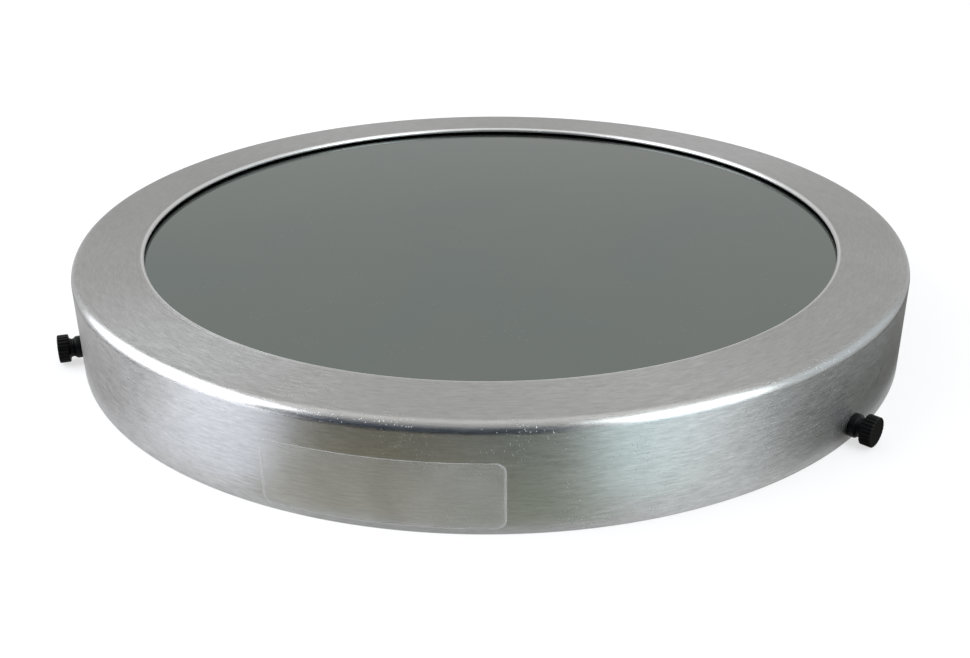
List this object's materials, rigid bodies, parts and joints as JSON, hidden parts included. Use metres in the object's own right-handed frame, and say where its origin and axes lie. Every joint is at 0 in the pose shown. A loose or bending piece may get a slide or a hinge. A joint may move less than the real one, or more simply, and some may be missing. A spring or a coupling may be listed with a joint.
{
  "type": "telescope solar filter",
  "caption": "Round solar filter in a spun aluminium cap for the front of a telescope tube, with a mirror-coated glass window and radial thumbscrews.",
  "frame": {"origin": "middle of the open rim, the plane that the cell rests on", "axes": "+Z along the cell's axis towards the sun, -Y to the middle of the label between two of the thumbscrews, and the third thumbscrew on +Y"},
  "size_m": [0.3088, 0.3165, 0.0352],
  "materials": {
    "spun_aluminium": "satin",
    "coated_glass": "polished",
    "gasket_rubber": "matte",
    "ring_aluminium": "satin",
    "black_felt": "matte",
    "clear_film": "gloss",
    "insert_steel": "satin",
    "black_nylon": "satin"
  },
  "bodies": {
    "cell": {"cell": "spun_aluminium", "front_gasket": "gasket_rubber", "solar_glass": "coated_glass", "rear_gasket": "gasket_rubber", "retaining_ring": "ring_aluminium", "felt_lining": "black_felt", "label": "clear_film", "thread_insert_left": "insert_steel", "thread_insert_right": "insert_steel", "thread_insert_back": "insert_steel"},
    "thumbscrew_left": {"thumbscrew_left": "black_nylon"},
    "thumbscrew_right": {"thumbscrew_right": "black_nylon"},
    "thumbscrew_back": {"thumbscrew_back": "black_nylon"}
  },
  "joints": [
    {"name": "screw_left", "type": "slide", "parent": "cell", "child": "thumbscrew_left", "axis": [-0.866, -0.5, 0], "range_m": [0, 0.008]},
    {"name": "screw_right", "type": "slide", "parent": "cell", "child": "thumbscrew_right", "axis": [0.866, -0.5, 0], "range_m": [0, 0.008]},
    {"name": "screw_back", "type": "slide", "parent": "cell", "child": "thumbscrew_back", "axis": [0, 1, 0], "range_m": [0, 0.008]}
  ]
}
